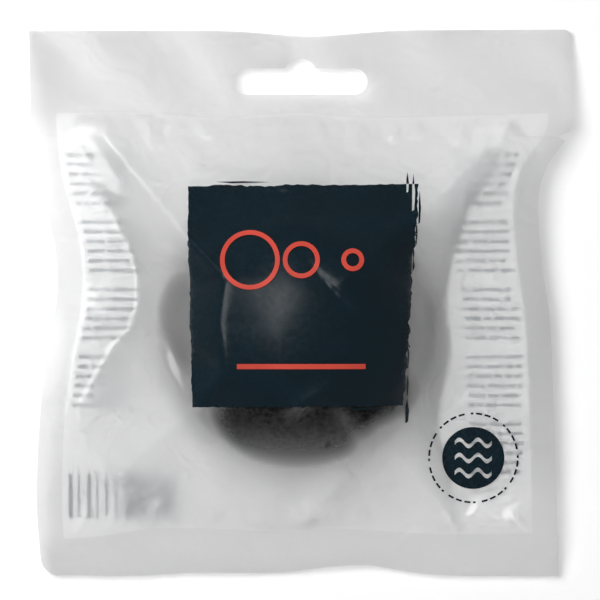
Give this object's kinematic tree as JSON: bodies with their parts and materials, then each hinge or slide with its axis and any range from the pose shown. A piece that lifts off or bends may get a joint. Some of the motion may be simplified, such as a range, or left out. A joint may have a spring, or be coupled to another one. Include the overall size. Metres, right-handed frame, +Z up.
{
  "type": "konjac sponge in a hang pouch",
  "caption": "Domed charcoal konjac sponge sealed in a frosted film hang pouch, with a tear-off header and a dark printed square on its front.",
  "frame": {"origin": "middle of the pouch's outline, on the table that its back lies on", "axes": "+X to the right of the printed front, +Y towards the header, +Z up out of the front"},
  "size_m": [0.1301, 0.1307, 0.032],
  "materials": {
    "sponge": "matte",
    "film": "satin",
    "weld": "satin",
    "dark_ink": "satin",
    "coral_ink": "satin",
    "grey_ink": "matte"
  },
  "bodies": {
    "pouch": {"front_film": "film", "back_film": "film", "left_side_seal": "weld", "right_side_seal": "weld", "bottom_seal": "weld", "front_panel_print": "dark_ink", "panel_accent_print": "coral_ink", "badge_print": "dark_ink", "back_column_print_left": "grey_ink", "back_column_print_right": "grey_ink", "back_stripe_print": "grey_ink"},
    "header": {"tear_off_header": "weld"},
    "sponge": {"sponge": "sponge"}
  },
  "joints": [
    {"name": "header_tear", "type": "slide", "parent": "pouch", "child": "header", "axis": [0, 1, 0], "range_m": [0, 0.15]},
    {"name": "sponge_pull", "type": "slide", "parent": "pouch", "child": "sponge", "axis": [0, 1, 0], "range_m": [0, 0.105], "deforming": ["front_film", "back_film", "front_panel_print", "panel_accent_print"]}
  ],
  "couplings": [
    {"joint": "sponge_pull", "follows": "header_tear", "ratio": 0.7}
  ]
}
